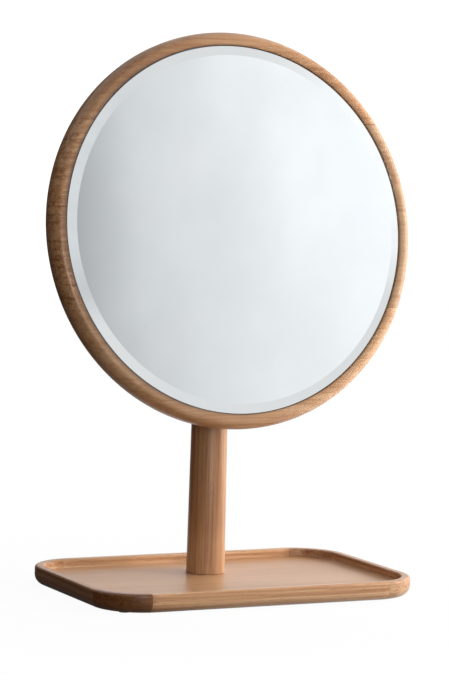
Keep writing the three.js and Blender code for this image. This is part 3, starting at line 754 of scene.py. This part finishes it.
def make_floor_and_backdrop():
    """
    A pale floor that runs into the white behind it, with only a trace of a shadow left on it.

    What it sends back to the object, bounced or reflected, is painted dark on the left and bright on the
    right.
    """
    made, tree, shader = new_material("studio_floor", Roughness=0.9)
    place = object_place(tree)
    paper = noise(tree, place, (300, 300, 300), 3.0)
    rays = add_node(tree, "ShaderNodeLightPath").outputs
    pale = blended(tree, paper, srgb("#f4f3f1"), srgb("#f8f8f7"))
    sideways = add_node(tree, "ShaderNodeSeparateXYZ", {"Vector": place}).outputs[0]
    # painted bounce light: dark and warm on the left, pale on the right
    bounce = blended(tree, fitted(tree, sideways, -0.2, 0.8), srgb("#3d2e24"), srgb("#f0ebe6"))
    tree.links.new(blended(tree, rays["Is Diffuse Ray"], pale, bounce), shader.inputs["Base Color"])
    # painted reflection: in reflections the floor glows, dimmed on the left
    shade = fitted(tree, sideways, -0.22, 0.02, 0.97, 0.19)
    glow = math_node(tree, "SUBTRACT", 1.0, math_node(tree, "MULTIPLY", rays["Is Glossy Ray"], shade))
    lit = add_node(tree, "ShaderNodeEmission", {"Color": (1, 1, 1, 1), "Strength": glow}).outputs[0]
    flat = add_node(tree, "ShaderNodeVectorMath", {0: place, 1: (1, 1, 0)}, operation="MULTIPLY").outputs[0]
    distance = add_node(tree, "ShaderNodeVectorMath", {0: flat}, operation="LENGTH").outputs["Value"]
    share = math_node(tree, "MULTIPLY", rays["Is Camera Ray"], fitted(tree, distance, 0.20, 0.60, 0.96, 1.0))
    share = math_node(tree, "MAXIMUM", share, rays["Is Glossy Ray"])
    output = tree.nodes["Material Output"]
    mixed = add_node(tree, "ShaderNodeMixShader", {0: share, 1: shader.outputs[0], 2: lit})
    tree.links.new(mixed.outputs[0], output.inputs["Surface"])
    points = [(x * STUDIO_FLOOR, y * STUDIO_FLOOR, 0) for x, y in ((-1, -1), (1, -1), (1, 1), (-1, 1))]
    floor = new_mesh("studio_floor", points, [(0, 1, 2, 3)], Matrix.Identity(4))
    floor.data.materials.append(made)


# brightness of the studio's walls by bearing: degrees from straight in front, positive to the right
WALLS = ((-180, 0.04), (-130, 0.02), (-70, 0.02), (-40, 0.10), (-22, 0.66), (-4, 0.68), (6, 0.66), (14, 0.48),
         (20, 0.36), (24.1, 0.36), (24.7, 0.49), (25.4, 0.68), (26.3, 0.80), (26.9, 0.74), (27.6, 0.87),
         (30.5, 0.97), (60, 0.98), (148, 1.0), (158, 0.8), (170, 0.12), (180, 0.04))
WALL_LIGHT = 1.14
OVERHEAD = (0.70, 0.70, 0.70, 1)
HORIZON = (0.71, 0.71, 0.71, 1)  # low in front, where the walls meet the floor
WALL_BOUNCE = (0.30, 0.26, 0.22, 1)  # how much of the walls' light falls on dull surfaces
COOL = (0.96, 1.0, 1.09)
WARM = (1.0, 0.96, 0.91)


def make_world():
    """The studio round the object: bright to the right, dark to the left, white where the camera looks."""
    world = bpy.data.worlds.new("studio")
    world.use_nodes = True
    bpy.context.scene.world = world
    tree = world.node_tree
    background = tree.nodes["Background"]
    background.inputs["Strength"].default_value = WALL_LIGHT
    direction = add_node(tree, "ShaderNodeTexCoord").outputs["Generated"]
    parts = add_node(tree, "ShaderNodeSeparateXYZ", {"Vector": direction}).outputs
    bearing = math_node(tree, "ARCTAN2", parts[0], math_node(tree, "MULTIPLY", parts[1], -1.0))
    clouds = noise(tree, direction, (14, 14, 14), 4.0, 0.6)
    drift = math_node(tree, "MULTIPLY", math_node(tree, "SUBTRACT", clouds, 0.5), math.radians(1.4))
    turns = math_node(tree, "DIVIDE", math_node(tree, "ADD", bearing, drift), 2 * math.pi)
    ramp = add_node(tree, "ShaderNodeValToRGB", {"Fac": math_node(tree, "ADD", turns, 0.5)})
    stops = ramp.color_ramp.elements
    stops[0].position, stops[1].position = 0.0, 1.0
    for degrees, _ in WALLS[1:-1]:
        stops.new(degrees / 360 + 0.5)
    for stop, (_, bright) in zip(stops, WALLS):
        stop.color = (bright * 0.985, bright, bright * 1.012, 1)
    lower = fitted(tree, parts[2], -0.02, 0.27, 0.74, 1.0)
    haze = fitted(tree, noise(tree, direction, (44, 44, 26), 3.0), 0.3, 0.7, 0.965, 1.03)
    grey = math_node(tree, "MULTIPLY", lower, haze)
    shade = add_node(tree, "ShaderNodeCombineXYZ", {0: grey, 1: grey, 2: grey}).outputs[0]
    walls = blended(tree, 1.0, ramp.outputs["Color"], shade, "MULTIPLY")
    ahead = math_node(tree, "MULTIPLY", fitted(tree, bearing, math.radians(-50), math.radians(-15)),
                      fitted(tree, bearing, math.radians(60), math.radians(100), 1.0, 0.0))
    horizon = math_node(tree, "MULTIPLY", ahead, fitted(tree, parts[2], -0.01, 0.13, 1.0, 0.0))
    walls = blended(tree, horizon, walls, HORIZON)
    walls = blended(tree, fitted(tree, parts[2], 0.42, 0.62), walls, OVERHEAD)
    rays = add_node(tree, "ShaderNodeLightPath").outputs
    dimmed = blended(tree, 1.0, walls, WALL_BOUNCE, "MULTIPLY")
    colours = blended(tree, rays["Is Diffuse Ray"], walls, dimmed)
    colours = blended(tree, rays["Is Camera Ray"], colours, (1, 1, 1, 1))
    tree.links.new(colours, background.inputs["Color"])


def make_light(name, place, aim, size, power, colour=(1, 1, 1), seen_in_gloss=False):
    """A round soft light at a place, turned to what it is aimed at."""
    data = bpy.data.lights.new(name, "AREA")
    data.shape = "DISK"
    data.size = size
    data.energy = power
    data.color = colour
    light = bpy.data.objects.new(name, data)
    light.location = place
    light.rotation_mode = "QUATERNION"
    light.rotation_quaternion = (Vector(place) - Vector(aim)).to_track_quat("Z", "Y")
    light.visible_glossy = seen_in_gloss
    bpy.context.scene.collection.objects.link(light)


def make_studio():
    """The floor, the walls and four soft lights."""
    make_floor_and_backdrop()
    make_world()
    make_light("key", (2.2, -1.2, 0.8), aim=(0, 0, 0.3), size=1.2, power=53, colour=COOL)
    make_light("front", (-0.6, -2.3, 0.5), aim=(0, 0, 0.35), size=0.5, power=10, colour=WARM,
               seen_in_gloss=True)
    make_light("side", (2.3, -0.2, 0.6), aim=(0, 0, 0.2), size=1.0, power=52, colour=COOL)
    make_light("top", (1.1, 0.9, 2.1), aim=(0, 0, 0.1), size=1.2, power=15)
    bpy.context.scene.view_settings.view_transform = "Standard"


# ---------------------------------------------------------------- the whole

make_tray()
make_post()
make_frame()
make_glass()
dress_nodes()
make_studio()
